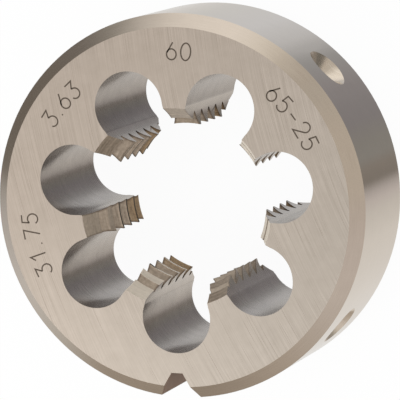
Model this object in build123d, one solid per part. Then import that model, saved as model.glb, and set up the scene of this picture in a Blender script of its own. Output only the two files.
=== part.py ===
from build123d import *
import os
from math import asin, cos, radians, sin, sqrt, tan

# Threading die: one round piece of hardened steel that cuts an external right-hand thread.
# The origin is the centre of the back face, +Z is the axis, out of the marked face.
# The adjusting groove is at -Y. All lengths are in millimetres, all angles in degrees.

# Blank
blank_diameter = 65.0
blank_thickness = 25.0
rim_chamfer = 2.15

# Thread that the die cuts, 1 1/4 inch with 7 turns to the inch
thread_diameter = 31.75
thread_pitch = 25.4 / 7
flank_angle = 60.0
tooth_height = 2.275
thread_start_angle = -95.0

# Lead cones that start the rod in the thread, one from each face, and clear it all round at the mouth
cone_mouth_clearance = 0.925
front_cone_depth = 6.35
back_cone_depth = 5.70

# Chip holes round the bore, with their centres outside the thread, the first one in line with the groove
chip_hole_count = 7
chip_hole_diameter = 12.0
thread_to_hole_centre = 2.725

# Lands between the chip holes. A hollow is ground in both their sides, which hooks the cutting edges.
land_tip_width = 4.6
rake_hollow_radius = 5.7

# Adjusting groove down the outside
groove_floor_width = 2.0
groove_angle = 60.0
groove_depth = 4.5

# Conical dimples for the locating screws of the stock, on both sides of the groove
dimple_diameter = 8.0
dimple_angle = 90.0
dimple_angles_from_groove = (50.0, 135.0)
# How far each cutting shape reaches past the surface that it leaves
cut_overshoot = 1.0

blank_radius = blank_diameter / 2
root_radius = thread_diameter / 2
tip_radius = root_radius - tooth_height
mouth_radius = root_radius + cone_mouth_clearance
hole_spacing = 360 / chip_hole_count
groove_direction = -90.0


def blank():
    """Ring turned to its section: chamfered rims outside, bore with a lead cone at each end."""
    section = Polyline(
        (tip_radius, back_cone_depth),
        (mouth_radius, 0),
        (blank_radius - rim_chamfer, 0),
        (blank_radius, rim_chamfer),
        (blank_radius, blank_thickness - rim_chamfer),
        (blank_radius - rim_chamfer, blank_thickness),
        (mouth_radius, blank_thickness),
        (tip_radius, blank_thickness - front_cone_depth),
        close=True,
    )
    return revolve(Plane.XZ * make_face(section), Axis.Z)


def thread_valley():
    """Helical valley between the teeth, a truncated V with its flanks at the thread's angle."""
    slope = tan(radians(flank_angle / 2))
    sharp_depth = thread_pitch / (2 * slope)
    # Valley and tooth are equally wide three eighths of the sharp V's depth inside the root.
    pitch_radius = root_radius - 3 / 8 * sharp_depth

    def half_width(radius):
        return thread_pitch / 4 - (radius - pitch_radius) * slope

    mouth = half_width(tip_radius)
    bottom = half_width(root_radius)
    inside = tip_radius - cut_overshoot
    profile = Polyline(
        (inside, -mouth),
        (tip_radius, -mouth),
        (root_radius, -bottom),
        (root_radius, bottom),
        (tip_radius, mouth),
        (inside, mouth),
        close=True,
    )
    path = Helix(thread_pitch, blank_thickness + 2 * thread_pitch, tip_radius)
    valley = sweep(Plane.XZ * make_face(profile), path=path, is_frenet=True)
    return Pos(0, 0, -thread_pitch) * Rot(0, 0, thread_start_angle) * valley


def cut_through(section):
    """Shape of the given section that reaches past both faces of the blank."""
    return Pos(0, 0, -cut_overshoot) * extrude(section, blank_thickness + 2 * cut_overshoot)


def chip_space():
    """Drilled chip hole at +X, and the ground hollow that opens it to the bore between two lands."""
    tip_direction = radians(hole_spacing / 2) - asin(land_tip_width / 2 / tip_radius)
    tip_x = tip_radius * cos(tip_direction)
    tip_y = tip_radius * sin(tip_direction)
    hollow_x = tip_x + sqrt(rake_hollow_radius**2 - tip_y**2)
    drilled = Pos(root_radius + thread_to_hole_centre, 0) * Circle(chip_hole_diameter / 2)
    ground = Pos(hollow_x, 0) * Circle(rake_hollow_radius)
    return cut_through(drilled + ground)


def adjusting_groove():
    """Groove at +X, full height, with a flat floor."""
    floor_x = blank_radius - groove_depth
    outer_x = blank_radius + cut_overshoot
    floor_half = groove_floor_width / 2
    outer_half = floor_half + (outer_x - floor_x) * tan(radians(groove_angle / 2))
    section = Polyline(
        (floor_x, -floor_half),
        (outer_x, -outer_half),
        (outer_x, outer_half),
        (floor_x, floor_half),
        close=True,
    )
    return cut_through(make_face(section))


def dimple():
    """Conical dimple at +X, at half height, with its rim on the outside of the blank."""
    slope = tan(radians(dimple_angle / 2))
    rim_radius = dimple_diameter / 2
    depth = rim_radius / slope
    outer_radius = rim_radius + cut_overshoot * slope
    cone = Cone(0.0, outer_radius, depth + cut_overshoot, align=(Align.CENTER, Align.CENTER, Align.MIN))
    return Pos(blank_radius - depth, 0, blank_thickness / 2) * Rot(0, 90, 0) * cone


def threading_die():
    """Blank with its holes, groove and dimples, and the thread cut last, through the lands alone."""
    die = blank()
    for index in range(chip_hole_count):
        die -= Rot(0, 0, groove_direction + index * hole_spacing) * chip_space()
    die -= Rot(0, 0, groove_direction) * adjusting_groove()
    for angle in dimple_angles_from_groove:
        for side in (-1, 1):
            die -= Rot(0, 0, groove_direction + side * angle) * dimple()
    return die - thread_valley()


die = threading_die()
os.makedirs("parts", exist_ok=True)
export_step(die, "parts/threading_die.step")
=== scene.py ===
from math import atan2, cos, degrees, hypot, radians, sin

import bpy
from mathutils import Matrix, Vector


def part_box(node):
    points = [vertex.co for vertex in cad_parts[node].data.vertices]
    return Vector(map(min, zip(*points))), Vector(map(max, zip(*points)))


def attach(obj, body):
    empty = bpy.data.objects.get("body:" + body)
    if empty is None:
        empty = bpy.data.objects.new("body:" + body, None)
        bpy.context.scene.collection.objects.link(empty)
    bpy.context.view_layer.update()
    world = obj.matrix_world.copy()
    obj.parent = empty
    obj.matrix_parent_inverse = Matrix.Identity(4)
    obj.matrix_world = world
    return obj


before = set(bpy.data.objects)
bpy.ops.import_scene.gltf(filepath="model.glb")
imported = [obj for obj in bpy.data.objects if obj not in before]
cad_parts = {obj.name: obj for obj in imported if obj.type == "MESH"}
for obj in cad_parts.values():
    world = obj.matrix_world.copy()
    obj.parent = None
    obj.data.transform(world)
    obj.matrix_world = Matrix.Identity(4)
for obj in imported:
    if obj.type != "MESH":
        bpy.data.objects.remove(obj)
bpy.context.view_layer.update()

# Threading die: one round piece of hardened high-speed steel, ground on its faces and on its rim.
# Each kind of surface shows the tool that made it, so each gets a finish of its own.
# Sizes are in metres and angles in degrees, with the adjusting groove at -Y and the marked face up.
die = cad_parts["threading_die"]
die_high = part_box("threading_die")[1]
face_height = die_high.z
rim_radius = die_high.y


# Marked face and back face, of bare steel ground flat with a cup wheel.
# The wheel leaves fine long scratches in gentle arcs, all round one centre beside the die.
wheel_centre = (0.128, 0.045)
wheel_reach = hypot(*wheel_centre)
# Depth of a scratch as a share of its width, and the range in which a noise mostly stays
scratch_depth = 0.25
noise_low = 0.3
noise_high = 0.7


def shader_node(tree, kind, inputs=None, **settings):
    """New node of a finish, with its settings, and with its inputs typed or wired from other nodes."""
    node = tree.nodes.new(kind)
    for name, value in settings.items():
        setattr(node, name, value)
    for name, value in (inputs or {}).items():
        if isinstance(value, bpy.types.NodeSocket):
            tree.links.new(value, node.inputs[name])
        else:
            node.inputs[name].default_value = value
    return node


def calculate(tree, operation, first, second=0.0):
    """Result of one step of arithmetic."""
    node = shader_node(tree, "ShaderNodeMath", {0: first, 1: second}, operation=operation)
    return node.outputs[0]


def rescale(tree, value, start, end, first=0.0, last=1.0):
    """Number that goes from first to last while the value goes from start to end."""
    inputs = {"Value": value, "From Min": start, "From Max": end, "To Min": first, "To Max": last}
    return shader_node(tree, "ShaderNodeMapRange", inputs).outputs[0]


def blend_colours(tree, share, first, second, blend_type="MIX"):
    """Colour made of two others, as far towards the second as the share says."""
    # A Mix node takes its share at socket 0, numbers at 2 and 3, and colours at 6 and 7.
    inputs = {0: share, 6: first, 7: second}
    return shader_node(tree, "ShaderNodeMix", inputs, data_type="RGBA", blend_type=blend_type).outputs[2]


def coordinates(tree, position):
    """The three coordinates of a position, each by itself."""
    parts = shader_node(tree, "ShaderNodeSeparateXYZ", {"Vector": position})
    return parts.outputs["X"], parts.outputs["Y"], parts.outputs["Z"]


def distance(tree, x, y):
    """How far a point lies from the place where both its measures are 0."""
    flat = shader_node(tree, "ShaderNodeCombineXYZ", {"X": x, "Y": y}).outputs[0]
    return shader_node(tree, "ShaderNodeVectorMath", {0: flat}, operation="LENGTH").outputs["Value"]


def noise(tree, vector, scale, detail, roughness):
    """Random shade round every point, the same each time."""
    inputs = {"Vector": vector, "Scale": scale, "Detail": detail, "Roughness": roughness}
    return shader_node(tree, "ShaderNodeTexNoise", inputs).outputs["Fac"]


def steel_finish(
    name, place, dark, light, line_width, line_length, roughness, bump,
    cloud=0.25, cloud_size=0.0024, bare=1.0, shine=0.5,
):
    """Steel with fine lines left by a tool, and with soft clouds.

    place gives how far a point lies across and along the lines. cloud is the share that the clouds have
    in the shade, and cloud_size is their size. bare says how much of the surface is bare metal, with no
    scale, and shine how much the rest mirrors.
    """
    material = bpy.data.materials.new(name)
    material.use_nodes = True
    tree = material.node_tree
    shader = tree.nodes["Principled BSDF"]
    position = shader_node(tree, "ShaderNodeTexCoord").outputs["Object"]
    across, along = place(tree, position)
    in_line_widths = calculate(tree, "DIVIDE", across, line_width)
    in_line_lengths = calculate(tree, "DIVIDE", along, line_length)
    lines = shader_node(tree, "ShaderNodeCombineXYZ", {"X": in_line_widths, "Y": in_line_lengths}).outputs[0]
    fine = noise(tree, lines, scale=1.0, detail=4.0, roughness=0.65)
    patches = noise(tree, position, scale=1 / cloud_size, detail=5.0, roughness=0.6)
    shade = shader_node(tree, "ShaderNodeMix", {0: cloud, 2: fine, 3: patches}, data_type="FLOAT").outputs[0]
    colour = blend_colours(tree, rescale(tree, shade, noise_low, noise_high), (*dark, 1.0), (*light, 1.0))
    gloss = rescale(tree, fine, noise_low, noise_high, roughness[0], roughness[1])
    scratches = {"Height": fine, "Strength": bump, "Distance": line_width * scratch_depth}
    relief = shader_node(tree, "ShaderNodeBump", scratches).outputs[0]
    shader.inputs["Metallic"].default_value = bare
    shader.inputs["Specular IOR Level"].default_value = shine
    tree.links.new(colour, shader.inputs["Base Color"])
    tree.links.new(gloss, shader.inputs["Roughness"])
    tree.links.new(relief, shader.inputs["Normal"])
    return material


def stain(finish, measure, start, end, tint):
    """Tints a finish more and more from start to end of a measure taken at each point."""
    tree = finish.node_tree
    base = tree.nodes["Principled BSDF"].inputs["Base Color"]
    position = shader_node(tree, "ShaderNodeTexCoord").outputs["Object"]
    share = rescale(tree, measure(tree, position), start, end)
    stained = blend_colours(tree, share, base.links[0].from_socket, (*tint, 1.0), "MULTIPLY")
    tree.links.new(stained, base)


def along_the_scratches(tree, position):
    x, y = coordinates(tree, position)[:2]
    from_wheel_x = calculate(tree, "SUBTRACT", x, wheel_centre[0])
    from_wheel_y = calculate(tree, "SUBTRACT", y, wheel_centre[1])
    turned = calculate(tree, "ARCTAN2", from_wheel_y, calculate(tree, "MULTIPLY", from_wheel_x, -1.0))
    return distance(tree, from_wheel_x, from_wheel_y), calculate(tree, "MULTIPLY", turned, wheel_reach)


def to_the_upper_left(tree, position):
    x, y = coordinates(tree, position)[:2]
    return calculate(tree, "SUBTRACT", y, x)


ground_face = steel_finish(
    "ground_face", along_the_scratches, dark=(0.346, 0.301, 0.253), light=(0.463, 0.4086, 0.353),
    line_width=0.00016, line_length=0.022, roughness=(0.26, 0.36), bump=0.14,
)
# Painted light: the face is tinted warmer towards the upper left and cooler towards the lower right.
stain(ground_face, to_the_upper_left, start=-rim_radius, end=rim_radius, tint=(1.0, 0.963, 0.943))


# Rim, ground bright on a cylindrical grinder, with a chamfer turned at both ends.
# Both are bare steel, and the lines of both tools run round the die.
rim_marks = {"line_width": 0.0001, "line_length": 0.006, "bump": 0.08}


def round_the_rim(tree, position):
    x, y, z = coordinates(tree, position)
    return z, calculate(tree, "MULTIPLY", calculate(tree, "ARCTAN2", y, x), rim_radius)


ground_rim = steel_finish(
    "ground_rim", round_the_rim, dark=(0.49, 0.425, 0.355), light=(0.56, 0.485, 0.405),
    roughness=(0.05, 0.09), **rim_marks,
)
turned_chamfer = steel_finish(
    "turned_chamfer", round_the_rim, dark=(0.49, 0.42, 0.345), light=(0.56, 0.485, 0.40),
    roughness=(0.16, 0.24), **rim_marks,
)


# Chip holes, drilled and reamed before the hardening, which left their walls a dull grey.
# The hollows ground into their sides, where they open to the bore, are a little lighter.
hole_marks = {"line_length": 0.004, "roughness": (0.20, 0.32), "bump": 0.08, "cloud": 0.45}


def round_a_hole(tree, position):
    x, y, z = coordinates(tree, position)
    return z, calculate(tree, "ADD", x, y)


def below_the_face(tree, position):
    return calculate(tree, "SUBTRACT", face_height, coordinates(tree, position)[2])


def down_and_to_the_groove(tree, position):
    return calculate(tree, "SUBTRACT", below_the_face(tree, position), coordinates(tree, position)[1])


reamed_hole = steel_finish(
    "reamed_hole", round_a_hole, dark=(0.23, 0.2, 0.174), light=(0.369, 0.323, 0.285),
    line_width=0.00012, **hole_marks,
)
ground_hollow = steel_finish(
    "ground_hollow", round_a_hole, dark=(0.354, 0.312, 0.27), light=(0.488, 0.433, 0.38),
    line_width=0.0001, **hole_marks,
)
# Painted light: the reamed walls get lighter with depth and towards the groove.
stain(reamed_hole, down_and_to_the_groove, start=-0.008, end=0.04, tint=(1.27, 1.275, 1.26))


# Lead cones and teeth, cut in the bore and tanned by the hardening, and browner deep inside.
# Their lines follow the thread round the bore. The crests and valleys between the teeth carry painted shade.
# The seven lands that carry them lie between the chip holes, the first of which is at the groove.
hole_count = 7
hole_spacing = 360 / hole_count
groove_direction = -90.0
hollow_circle = 0.01737
hollow_radius = 0.0057
bore_half_length = 0.0065
line_slant = 0.7
cone_marks = {
    "line_width": 0.0007, "line_length": 0.008, "roughness": (0.36, 0.5), "bump": 0.08,
    "cloud": 0.4, "cloud_size": 0.0005, "bare": 0.35,
}
flank_marks = {
    **cone_marks, "line_width": 0.0006, "line_length": 0.007, "roughness": (0.3, 0.45), "bare": 0.6,
}


def round_the_bore(tree, position):
    """Lines round the bore, which lie beside one another both along the axis and out from it."""
    x, y, z = coordinates(tree, position)
    radius = distance(tree, x, y)
    across = calculate(tree, "ADD", calculate(tree, "MULTIPLY", radius, line_slant), z)
    return across, calculate(tree, "MULTIPLY", calculate(tree, "ARCTAN2", y, x), radius)


def from_the_axis(tree, position):
    return distance(tree, *coordinates(tree, position)[:2])


def down_a_valley(tree, position):
    """Distance from the axis, taken as less near both faces, where the cones lay the valleys open."""
    z = coordinates(tree, position)[2]
    from_half_height = calculate(tree, "ABSOLUTE", calculate(tree, "SUBTRACT", z, face_height / 2))
    beyond_the_bore = calculate(tree, "SUBTRACT", from_half_height, bore_half_length)
    in_a_cone = calculate(tree, "MAXIMUM", beyond_the_bore, 0.0)
    return calculate(tree, "SUBTRACT", from_the_axis(tree, position), in_a_cone)


def from_a_hollow(tree, position):
    """Distance from the nearest ground hollow, so from the cutting edge of a tooth."""
    x, y = coordinates(tree, position)[:2]
    from_groove = calculate(tree, "SUBTRACT", calculate(tree, "ARCTAN2", y, x), radians(groove_direction))
    spaces = calculate(tree, "DIVIDE", from_groove, radians(hole_spacing))
    from_nearest = calculate(tree, "SUBTRACT", spaces, calculate(tree, "ROUND", spaces))
    angle = calculate(tree, "MULTIPLY", from_nearest, radians(hole_spacing))
    radius = distance(tree, x, y)
    along = calculate(tree, "MULTIPLY", radius, calculate(tree, "COSINE", angle))
    across = calculate(tree, "MULTIPLY", radius, calculate(tree, "SINE", angle))
    from_middle = distance(tree, calculate(tree, "SUBTRACT", along, hollow_circle), across)
    return calculate(tree, "SUBTRACT", from_middle, hollow_radius)


lead_cone = steel_finish(
    "lead_cone", round_the_bore, dark=(0.255, 0.201, 0.152), light=(0.61, 0.517, 0.412), **cone_marks,
)
dark_cone = steel_finish(
    "dark_cone", round_the_bore, dark=(0.205, 0.155, 0.11), light=(0.62, 0.505, 0.39), **flank_marks,
)
# Lighter cones and crests: painted light where light falls on some lands.
cone_in_painted_light = steel_finish(
    "cone_in_painted_light", round_the_bore, dark=(0.735, 0.65, 0.535), light=(0.92, 0.825, 0.70), **cone_marks,
)
cut_flank = steel_finish(
    "cut_flank", round_the_bore, dark=(0.165, 0.124, 0.088), light=(0.5, 0.405, 0.312), **flank_marks,
)
# Dark crests and roots: painted shade of the valleys between the teeth.
crest_in_painted_shade = steel_finish(
    "crest_in_painted_shade", round_the_bore, dark=(0.06, 0.048, 0.034), light=(0.11, 0.09, 0.068),
    line_width=0.0002, line_length=0.006, roughness=(0.45, 0.55), bump=0.1, bare=0.0, shine=0.1,
)
root_in_painted_shade = steel_finish(
    "root_in_painted_shade", round_the_bore, dark=(0.11, 0.085, 0.06), light=(0.2, 0.165, 0.125),
    line_width=0.0002, line_length=0.006, roughness=(0.4, 0.5), bump=0.1, bare=0.7,
)
# Flanks are browner past half height, and carry a painted highlight along the crests.
stain(cut_flank, below_the_face, start=0.0143, end=0.0163, tint=(0.97, 0.85, 0.66))
stain(cut_flank, from_the_axis, start=0.01385, end=0.0136, tint=(1.25, 1.23, 1.21))
# Painted shade: a thin dark line along the cutting edges, and the valleys darken towards the root.
stain(cut_flank, from_a_hollow, start=0.0004, end=0.0, tint=(0.35, 0.3, 0.26))
stain(lead_cone, from_a_hollow, start=0.00025, end=0.0, tint=(0.45, 0.4, 0.36))
stain(cut_flank, down_a_valley, start=0.0149, end=0.0157, tint=(0.25, 0.22, 0.2))


# Adjusting groove, milled down the outside and brown with scale, and the four dimples sunk in the rim.
# The pointed screws of a die stock hold the die by them. The tools' marks are coarser here.


def down_the_groove(tree, position):
    y, z = coordinates(tree, position)[1:]
    return z, y


milled_groove = steel_finish(
    "milled_groove", down_the_groove, dark=(0.13, 0.074, 0.042), light=(0.21, 0.122, 0.072),
    line_width=0.0002, line_length=0.003, roughness=(0.5, 0.65), bump=0.2, bare=0.1, shine=0.2,
)
sunk_dimple = steel_finish(
    "sunk_dimple", down_the_groove, dark=(0.535, 0.458, 0.372), light=(0.71, 0.627, 0.525),
    line_width=0.00015, line_length=0.003, roughness=(0.2, 0.3), bump=0.1,
)


# Which finish each surface of the die has, told from where it lies and which way it looks.
# Lands are counted from the groove towards +X. The cones of some lands carry painted light, which makes
# them the lightest; those of two others are the darkest, and one land has lighter flanks.

# Where each kind of surface lies. A reach is its greatest distance from the axis, with a little to spare.
hole_circle = 0.0186
hole_radius = 0.006
hole_reach = 0.0248
thread_reach = 0.0162
crest_reach = 0.0142
groove_half_width = 0.0037
groove_bottom = 0.0279
chamfer_inner_radius = 0.0302
chamfer_height = 0.0022
face_slack = 1e-5
hole_slack = 5e-5
painted_light_lands = (1, 2, 6)
dark_cone_lands = (0, 4)
light_flank_land = 0
# Painted light on the crests of those lands, from this share of a space past the middle, earlier with depth
painted_light_crest_start = 0.155
painted_light_crest_growth = 23.4
# Share of a surface's direction that is up or down: at least this on a face, on a flank and on a cone,
# and at most this in the groove
face_slope = 0.999
flank_slope = 0.65
cone_slope = 0.02
groove_slope = 0.1
# Share that is to or from the axis: at least this on the rim, and on the crests and roots in the bore
rim_outwardness = 0.99
bore_outwardness = 0.97
finishes = [
    ground_face, ground_rim, turned_chamfer, reamed_hole, ground_hollow, lead_cone, dark_cone, cone_in_painted_light,
    cut_flank, crest_in_painted_shade, root_in_painted_shade, milled_groove, sunk_dimple,
]


def outside_finish(centre, radius, outward, slope):
    """Finish beyond the chip holes: the groove, the rim, a chamfer or a dimple."""
    beside_the_groove = centre.y < 0 and abs(centre.x) < groove_half_width
    if beside_the_groove and radius > groove_bottom and slope < groove_slope:
        return milled_groove
    if outward > rim_outwardness:
        return ground_rim
    if radius > chamfer_inner_radius and min(centre.z, face_height - centre.z) < chamfer_height:
        return turned_chamfer
    return sunk_dimple


def inside_finish(centre, radius, outward, slope):
    """Finish in the bore and in the chip holes: a tooth, a cone, a reamed wall or a ground hollow."""
    spaces = (degrees(atan2(centre.y, centre.x)) - groove_direction) / hole_spacing
    land = round(spaces - 0.5) % hole_count
    from_middle = spaces - 0.5 - round(spaces - 0.5)
    if outward > bore_outwardness and radius < crest_reach:
        bare_from = painted_light_crest_start - painted_light_crest_growth * (face_height - centre.z)
        return cone_in_painted_light if land in painted_light_lands and from_middle > bare_from else crest_in_painted_shade
    if outward > bore_outwardness and radius < thread_reach:
        return root_in_painted_shade
    if slope > flank_slope:
        return lead_cone if land == light_flank_land else cut_flank
    if slope > cone_slope:
        if land in painted_light_lands:
            return cone_in_painted_light
        return dark_cone if land in dark_cone_lands else lead_cone
    nearest = radians(groove_direction + round(spaces) * hole_spacing)
    from_hole = hypot(centre.x - hole_circle * cos(nearest), centre.y - hole_circle * sin(nearest))
    return reamed_hole if abs(from_hole - hole_radius) < hole_slack else ground_hollow


def finish_of(centre, normal):
    """Finish of a surface with this centre, which looks along this normal."""
    radius = hypot(centre.x, centre.y)
    outward = abs(normal.x * centre.x + normal.y * centre.y) / radius
    slope = abs(normal.z)
    if slope > face_slope and min(centre.z, face_height - centre.z) < face_slack:
        return ground_face
    if radius > hole_reach:
        return outside_finish(centre, radius, outward, slope)
    return inside_finish(centre, radius, outward, slope)


die.data.materials.clear()
for finish in finishes:
    die.data.materials.append(finish)
for face in die.data.polygons:
    face.material_index = finishes.index(finish_of(face.center, face.normal))


# Numbers etched on the marked face, plain sizes in a single dark line with no depth to speak of.
# Each figure stands on an arc round the die, with its foot towards the middle.
foot_radius = 0.0249
figure_height = 0.0029
figure_step = 0.0024
figure_line = 0.00025
dot_step_share = 0.55
mark_lift = 3e-6
mark_height = face_height + mark_lift
# Each number, with the direction of its middle from +X towards +Y
marks = {88.0: "60", 140.0: "3.63", 196.0: "31.75", 37.5: "65-25"}
# Strokes of each figure, on a field 1 high and with its middle at 0.3. A line is given by its corners,
# and an arc by its middle, its half width and half height, and the angles where it starts and ends.
field_middle = 0.3
figure_strokes = {
    "0": [("arc", 0.30, 0.50, 0.30, 0.50, 0, 360)],
    "1": [("line", 0.10, 0.74, 0.36, 1.0, 0.36, 0.0)],
    "2": [("arc", 0.30, 0.70, 0.29, 0.30, 175, -35), ("line", 0.54, 0.53, 0.02, 0.0, 0.62, 0.0)],
    "3": [("line", 0.05, 1.0, 0.56, 1.0, 0.27, 0.62), ("arc", 0.28, 0.31, 0.30, 0.31, 90, -155)],
    "5": [("line", 0.56, 1.0, 0.13, 1.0, 0.08, 0.55), ("arc", 0.29, 0.32, 0.30, 0.32, 135, -150)],
    "6": [("arc", 0.30, 0.31, 0.29, 0.31, 0, 360), ("line", 0.04, 0.42, 0.40, 1.0)],
    "7": [("line", 0.03, 1.0, 0.58, 1.0, 0.22, 0.0)],
    "-": [("line", 0.06, 0.45, 0.54, 0.45)],
    ".": [("line", 0.26, 0.04, 0.34, 0.04)],
}
arc_step = 12
fewest_arc_steps = 8
same_point = 1e-7

etched_line = steel_finish(
    "etched_line", along_the_scratches, dark=(0.085, 0.068, 0.053), light=(0.14, 0.113, 0.09),
    line_width=0.00016, line_length=0.003, roughness=(0.5, 0.65), bump=0.1,
)


def stroke_points(stroke):
    """Points along a stroke, where an arc is taken in short steps."""
    kind, *sizes = stroke
    if kind == "line":
        return list(zip(sizes[::2], sizes[1::2]))
    middle_x, middle_y, half_width, half_height, start, end = sizes
    count = max(fewest_arc_steps, round(abs(end - start) / arc_step))
    angles = [radians(start + (end - start) * step / count) for step in range(count + 1)]
    return [(middle_x + half_width * cos(angle), middle_y + half_height * sin(angle)) for angle in angles]


def ribbon_sides(line):
    """Left and right points of a flat ribbon along a line, with mitred corners."""
    sides = []
    closed = hypot(line[0][0] - line[-1][0], line[0][1] - line[-1][1]) < same_point
    for index, (x, y) in enumerate(line):
        before = line[index - 1] if index else (line[-2] if closed else None)
        after = line[index + 1] if index + 1 < len(line) else (line[1] if closed else None)
        turns = [atan2(y - before[1], x - before[0])] if before else []
        turns += [atan2(after[1] - y, after[0] - x)] if after else []
        across = (-sum(map(sin, turns)) / len(turns), sum(map(cos, turns)) / len(turns))
        reach = figure_line / 2 / (across[0] ** 2 + across[1] ** 2)
        step_x = across[0] * reach
        step_y = across[1] * reach
        sides.append(((x + step_x, y + step_y), (x - step_x, y - step_y)))
    return sides


corners = []
ribbons = []
for middle, text in marks.items():
    steps = [dot_step_share if figure == "." else 1.0 for figure in text]
    for index, figure in enumerate(text):
        from_middle = sum(steps[:index]) + steps[index] / 2 - sum(steps) / 2
        out = radians(middle) - from_middle * figure_step / foot_radius
        for stroke in figure_strokes[figure]:
            line = [
                ((x - field_middle) * figure_height, foot_radius + y * figure_height)
                for x, y in stroke_points(stroke)
            ]
            first = len(corners)
            for pair in ribbon_sides(line):
                for x, y in pair:
                    corners.append((x * sin(out) + y * cos(out), y * sin(out) - x * cos(out), mark_height))
            for corner in range(first, len(corners) - 2, 2):
                ribbons.append((corner, corner + 1, corner + 3, corner + 2))
mesh = bpy.data.meshes.new("etched_numbers")
mesh.from_pydata(corners, [], ribbons)
mesh.materials.append(etched_line)
numbers = bpy.data.objects.new("etched_numbers", mesh)
bpy.context.scene.collection.objects.link(numbers)
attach(numbers, "root")


# Floor, a wide plain white board that the die lies on.
# To the camera it shows white, and it keeps the soft shadow of the die.
floor_size = 4.0
floor_drop = 0.0001
floor_whiteness = 0.95
paint_colour = (0.9, 0.9, 0.9, 1.0)
white = (1.0, 1.0, 1.0, 1.0)


def white_when_seen(tree):
    """1 for what the camera, a reflection or a clear body sees, and 0 for the light that falls on things."""
    path = shader_node(tree, "ShaderNodeLightPath")
    seen = calculate(tree, "MAXIMUM", path.outputs["Is Camera Ray"], path.outputs["Is Glossy Ray"])
    return calculate(tree, "MAXIMUM", seen, path.outputs["Is Transmission Ray"])


bpy.ops.mesh.primitive_plane_add(size=floor_size, location=(0, 0, -floor_drop))
floor = bpy.context.object
floor.name = "floor"
board = bpy.data.materials.new("white_board")
board.use_nodes = True
tree = board.node_tree
tree.nodes.clear()
paint = shader_node(tree, "ShaderNodeBsdfDiffuse", {"Color": paint_colour})
glow = shader_node(tree, "ShaderNodeEmission", {"Color": white, "Strength": 1.0})
share = calculate(tree, "MULTIPLY", white_when_seen(tree), floor_whiteness)
mix = shader_node(tree, "ShaderNodeMixShader", {0: share, 1: paint.outputs[0], 2: glow.outputs[0]})
shader_node(tree, "ShaderNodeOutputMaterial", {"Surface": mix.outputs[0]})
floor.data.materials.append(board)


# Studio cards, which only the steel sees, because a white room alone would leave it flat.
# One lies far below the die and two stand all round it, one above the other.
# Each is graded by direction, from a lit white card to the dark of an unlit corner.
card_reach = 3.0
card_foot = -0.6 * card_reach
card_seam = 0.1 * card_reach
card_top = 0.6 * card_reach
card_sides = 96
brown = (1.0, 0.93, 0.87)
tan = (1.0, 0.905, 0.815)
sand = (1.0, 0.957, 0.91)
pink = (1.0, 0.955, 0.95)
warm = (1.0, 0.98, 0.95)
plain = (1.0, 1.0, 0.985)
clear = (1.0, 1.005, 1.03)
blush = (1.0, 0.965, 0.985)
lilac = (1.0, 0.985, 1.06)
cool = (1.0, 1.03, 1.08)
# Tones of each card: the direction from +X towards +Y, the brightness there, and its tint
card_below_tones = [
    (-180, 0.76, warm), (-120, 0.845, warm), (-85, 0.935, warm), (-45, 0.925, warm), (-27, 0.815, warm),
    (-19.5, 0.74, pink), (-14, 0.59, pink), (-8.3, 0.31, brown), (0, 0.34, brown), (7, 0.357, plain),
    (16, 0.35, plain), (30, 0.335, lilac), (42, 0.35, lilac), (57, 0.39, lilac), (77, 0.452, cool),
    (97, 0.733, cool), (117, 0.80, cool), (150, 0.728, plain), (165, 0.735, warm), (180, 0.76, warm),
]
card_low_tones = [
    (-180, 0.25, brown), (-177.5, 0.27, brown), (-174, 0.55, plain), (-170, 0.65, clear),
    (-153, 0.855, clear), (-142, 0.735, plain), (-130, 0.53, tan), (-100, 0.47, tan), (-70, 0.70, brown),
    (-45, 0.90, warm), (-23, 0.80, warm), (-14, 0.45, warm), (-5, 0.22, warm), (20, 0.22, warm),
    (40, 0.34, warm), (60, 0.80, warm), (86, 1.25, plain), (108, 1.17, clear), (120, 0.89, clear),
    (131, 0.44, plain), (143, 0.265, pink), (157, 0.248, brown), (170, 0.234, brown), (180, 0.25, brown),
]
card_high_tones = [
    (-180, 0.30, plain), (-170, 0.62, plain), (-153, 0.84, plain), (-130, 0.54, brown), (-100, 0.48, warm),
    (-70, 0.69, pink), (-45, 0.87, blush), (-25, 0.875, blush), (-8, 0.81, pink), (0, 0.805, sand),
    (30, 0.785, sand), (46, 0.715, warm), (55, 0.73, sand), (60, 0.785, warm), (66, 0.93, warm),
    (73, 1.13, plain), (86, 1.35, clear), (108, 1.25, clear), (120, 0.84, plain), (131, 0.46, plain),
    (143, 0.27, plain), (170, 0.26, plain), (180, 0.30, plain),
]


def hang_card(card, name, tones):
    """Gives a card its glow, and hides it from everything but reflections."""
    card.name = name
    material = bpy.data.materials.new(name)
    material.use_nodes = True
    material.cycles.emission_sampling = "NONE"
    tree = material.node_tree
    tree.nodes.clear()
    position = shader_node(tree, "ShaderNodeTexCoord").outputs["Object"]
    around = shader_node(tree, "ShaderNodeTexGradient", {"Vector": position}, gradient_type="RADIAL")
    ramp = shader_node(tree, "ShaderNodeValToRGB", {"Fac": around.outputs["Fac"]})
    # The ramp runs once round the card, and has two stops to begin with.
    stops = ramp.color_ramp.elements
    for index, (direction, tone, tint) in enumerate(tones):
        place = direction / 360 + 0.5
        stop = stops[index] if index < 2 else stops.new(place)
        stop.position = place
        stop.color = (*(tone * part for part in tint), 1.0)
    glow = shader_node(tree, "ShaderNodeEmission", {"Color": ramp.outputs["Color"], "Strength": 1.0})
    shader_node(tree, "ShaderNodeOutputMaterial", {"Surface": glow.outputs[0]})
    card.data.materials.append(material)
    card.visible_camera = False
    card.visible_diffuse = False
    card.visible_transmission = False
    card.visible_shadow = False


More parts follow.
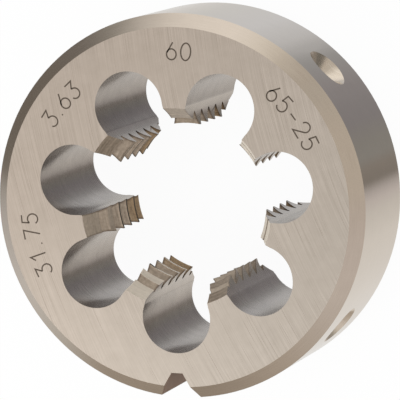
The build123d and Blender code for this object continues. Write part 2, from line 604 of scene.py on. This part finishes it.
bpy.ops.mesh.primitive_circle_add(
    vertices=card_sides, radius=card_reach, fill_type="NGON", location=(0, 0, card_foot)
)
hang_card(bpy.context.object, "studio_card_below", card_below_tones)
for name, tones, foot, top in (
    ("studio_card_low", card_low_tones, card_foot, card_seam),
    ("studio_card_high", card_high_tones, card_seam, card_top),
):
    bpy.ops.mesh.primitive_cylinder_add(
        vertices=card_sides, radius=card_reach, depth=top - foot, end_fill_type="NOTHING",
        location=(0, 0, (foot + top) / 2),
    )
    hang_card(bpy.context.object, name, tones)
# The steel mirrors the lowest card in place of the floor.
floor.visible_glossy = False


# Soft studio light: a white room all round, and one broad lamp overhead on the left.
# The lamp stands nearly where the marked face mirrors the camera, so the face is brightest on that side.
lamp_size = 0.25
lamp_power = 1.3
lamp_place = (-0.42, -0.40, 0.72)

room = bpy.data.worlds.new("white_room")
room.use_nodes = True
bpy.context.scene.world = room
tree = room.node_tree
tree.nodes.clear()
sky = shader_node(tree, "ShaderNodeBackground", {"Color": white, "Strength": 1.0})
shader_node(tree, "ShaderNodeOutputWorld", {"Surface": sky.outputs[0]})

lamp_data = bpy.data.lights.new("broad_lamp", "AREA")
lamp_data.size = lamp_size
lamp_data.energy = lamp_power
lamp = bpy.data.objects.new("broad_lamp", lamp_data)
bpy.context.scene.collection.objects.link(lamp)
lamp.location = lamp_place
lamp.rotation_euler = (-lamp.location).to_track_quat("-Z", "Y").to_euler()


# Camera, 0.6 m off above the marked face and a little to the right, where the photograph was taken.
# Its long lens keeps the outlines of both faces nearly the same size.
lens_length_mm = 307.76
film_width_mm = 36.0
camera_place = (0.190818, 0.082446, 0.556442)
camera_turn = (-8.3818, 19.2399, -0.6325)

camera_data = bpy.data.cameras.new("camera")
camera_data.lens = lens_length_mm
camera_data.sensor_width = film_width_mm
camera = bpy.data.objects.new("camera", camera_data)
bpy.context.scene.collection.objects.link(camera)
camera.location = camera_place
camera.rotation_euler = [radians(angle) for angle in camera_turn]
bpy.context.scene.camera = camera
bpy.context.scene.view_settings.view_transform = "Standard"
